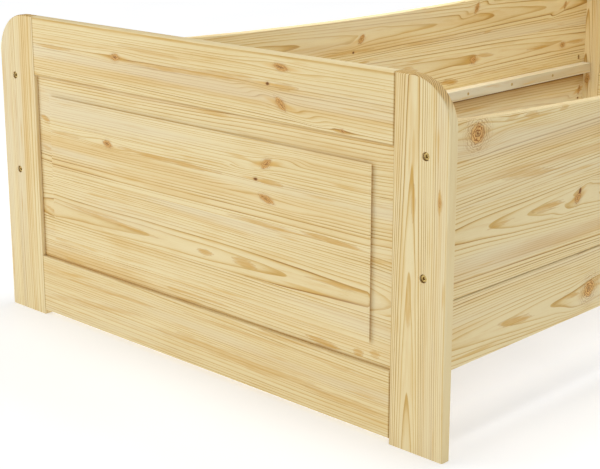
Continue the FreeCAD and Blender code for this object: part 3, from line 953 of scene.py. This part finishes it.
def fasteners(node, places, axis, profile, material):
    """One piece of several equal fasteners that stands for a node. Their heads are at the places given."""
    bm = bmesh.new()
    inwards = Vector(axis)
    upward = Vector((0, 0, 1))
    aside = inwards.cross(upward)
    for place in places:
        rings = []
        for depth, outline in profile:
            ring = []
            for step in range(FASTENER_STEPS):
                angle = 2 * math.pi * step / FASTENER_STEPS
                arm = aside * math.cos(angle) + upward * math.sin(angle)
                ring.append(bm.verts.new(Vector(place) + (inwards * depth + arm * outline(angle)) * MM))
            rings.append(ring)
        for first, second in zip(rings, rings[1:]):
            for step in range(FASTENER_STEPS):
                after = (step + 1) % FASTENER_STEPS
                bm.faces.new((first[step], first[after], second[after], second[step]))
        bm.faces.new(rings[0])
        bm.faces.new(rings[-1])
    bmesh.ops.recalc_face_normals(bm, faces=bm.faces)
    mesh = bpy.data.meshes.new(node + "_detail")
    bm.to_mesh(mesh)
    bm.free()
    mesh.shade_smooth()
    mesh.set_sharp_from_angle(angle=math.radians(SHARP_ANGLE))
    mesh.materials.append(material)
    obj = bpy.data.objects.new(node + "_detail", mesh)
    bpy.context.scene.collection.objects.link(obj)
    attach(obj, "root")
    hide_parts(node)


def end_bolts(end, inwards, material):
    """The four bolts of one end, on the corners of the node's box."""
    node = end + "_bolts"
    low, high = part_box(node)
    head = low[1] if inwards > 0 else high[1]
    margin = BOLT_HEAD_RADIUS * MM
    heights = (low[2] + margin, high[2] - margin)
    places = [(x, head, z) for x in (low[0] + margin, high[0] - margin) for z in heights]
    fasteners(node, places, (0, inwards, 0), bolt_profile((high[1] - low[1]) / MM), material)


def ledger_screws(side, outwards, material):
    """The row of screws of one ledger, evenly spaced along the node's box."""
    node = side + "_ledger_screws"
    low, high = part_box(node)
    head = low[0] if outwards > 0 else high[0]
    first = low[1] + SCREW_HEAD_RADIUS * MM
    pitch = (high[1] - low[1] - 2 * SCREW_HEAD_RADIUS * MM) / (SCREW_COUNT - 1)
    places = [(head, first + pitch * step, (low[2] + high[2]) / 2) for step in range(SCREW_COUNT)]
    fasteners(node, places, (outwards, 0, 0), screw_profile((high[0] - low[0]) / MM), material)


yellow_zinc = metal("yellow_zinc")
for end, inwards in (("foot", 1), ("head", -1)):
    end_bolts(end, inwards, yellow_zinc)
    dress(end + "_barrel_nuts", yellow_zinc)
for side, outwards in (("left", -1), ("right", 1)):
    ledger_screws(side, outwards, yellow_zinc)


# Stage and light, in metres and watts

WHITE = (1.0, 1.0, 1.0, 1.0)
FLOOR_REACH = 60.0
FLOOR_TONES = [(0.3, paint(226, 227, 229)), (0.7, paint(231, 232, 234))]
FLOOR_OUTSIDE = paint(244, 244, 244)
FLOOR_WAVES = (3, 3, 3)
FLOOR_ROUGHNESS = 0.6
FLOOR_CLOUD_ROUGHNESS = 0.1
FLOOR_BUMP = 0.1 * MM
NEAR_STEP = {"start": -0.35, "end": 0.15}
NEAR_GLOW = 0.50
FAR_STEP = {"start": 0.2, "end": 1.6}
FAR_GLOW = 0.10
WORLD_STRENGTH = 0.51

# Each light's name, place, target, size, power and spread in degrees
LIGHTS = [
    ("main", (-3.9, -4.3, 2.5), (0, -1.0, 0.3), 3.2, 84, 180),
    ("overhead", (-0.25, 0.1, 2.3), (-0.35, 0.1, 0), 0.8, 7.0, 80),
    ("near edge", (0.52, -0.8, 2.3), (0.52, -0.8, 0), 0.6, 0.9, 50),
]

# Camera, found by laying the finished sizes over the photograph. The rise is in picture widths, and the
# angles are in degrees.
PICTURE_WIDTH = 600
FOCAL_PIXELS = 1424
SENSOR_WIDTH = 36.0
CAMERA_PLACE = Vector((1803.8, -2637.7, 955.6)) * MM
CAMERA_YAW = 43.75
CAMERA_PITCH = 14.92
CAMERA_RISE = -0.05


def floor():
    """A wide pale floor under the bed, which glows a little away from it."""
    mesh = bpy.data.meshes.new("floor")
    reach = FLOOR_REACH
    corners = [(-reach, -reach, 0), (reach, -reach, 0), (reach, reach, 0), (-reach, reach, 0)]
    mesh.from_pydata(corners, [], [(0, 1, 2, 3)])
    obj = bpy.data.objects.new("floor", mesh)
    bpy.context.scene.collection.objects.link(obj)
    recipe = Recipe("floor")
    place = recipe.place()
    cloud = recipe.noise_level(place, FLOOR_WAVES, detail=3.0)
    colour = recipe.ramp(cloud, FLOOR_TONES)
    roughness = recipe.times(cloud, FLOOR_CLOUD_ROUGHNESS, FLOOR_ROUGHNESS)
    beside = recipe.math("SUBTRACT", recipe.math("ABSOLUTE", place[0]), cad_high.x)
    beyond = recipe.math("SUBTRACT", recipe.math("ABSOLUTE", place[1]), cad_high.y)
    away = recipe.math("MAXIMUM", beside, beyond)
    outside = recipe.eased(away, **NEAR_STEP)
    colour = recipe.stained(outside, colour, FLOOR_OUTSIDE)
    far_off = recipe.eased(away, **FAR_STEP)
    glow = recipe.math("ADD", recipe.times(outside, NEAR_GLOW), recipe.times(far_off, FAR_GLOW))
    light = {"Emission Color": WHITE, "Emission Strength": glow}
    mesh.materials.append(recipe.finish(colour, roughness, cloud, FLOOR_BUMP, **light))


def panel_light(name, place, target, size, power, spread):
    """A soft disk of light that faces a point and doesn't show itself."""
    light = bpy.data.lights.new(name, "AREA")
    light.shape = "DISK"
    light.size = size
    light.energy = power
    light.spread = math.radians(spread)
    obj = bpy.data.objects.new(name, light)
    obj.location = place
    obj.rotation_euler = (Vector(target) - Vector(place)).to_track_quat("-Z", "Y").to_euler()
    obj.visible_camera = False
    bpy.context.scene.collection.objects.link(obj)


def studio():
    """Even white surroundings, a soft main light from the left of the foot and two overhead."""
    world = bpy.data.worlds.new("studio")
    world.use_nodes = True
    background = world.node_tree.nodes["Background"]
    background.inputs["Color"].default_value = WHITE
    background.inputs["Strength"].default_value = WORLD_STRENGTH
    bpy.context.scene.world = world
    for light in LIGHTS:
        panel_light(*light)


def camera():
    """The photograph's point of view."""
    data = bpy.data.cameras.new("camera")
    data.sensor_width = SENSOR_WIDTH
    data.lens = FOCAL_PIXELS / PICTURE_WIDTH * SENSOR_WIDTH
    data.shift_y = CAMERA_RISE
    obj = bpy.data.objects.new("camera", data)
    obj.location = CAMERA_PLACE
    turns = (math.radians(90 - CAMERA_PITCH), 0.0, math.radians(CAMERA_YAW))
    obj.rotation_euler = Euler(turns, "XYZ")
    bpy.context.scene.collection.objects.link(obj)
    bpy.context.scene.camera = obj


floor()
studio()
camera()
bpy.context.scene.view_settings.view_transform = "Standard"
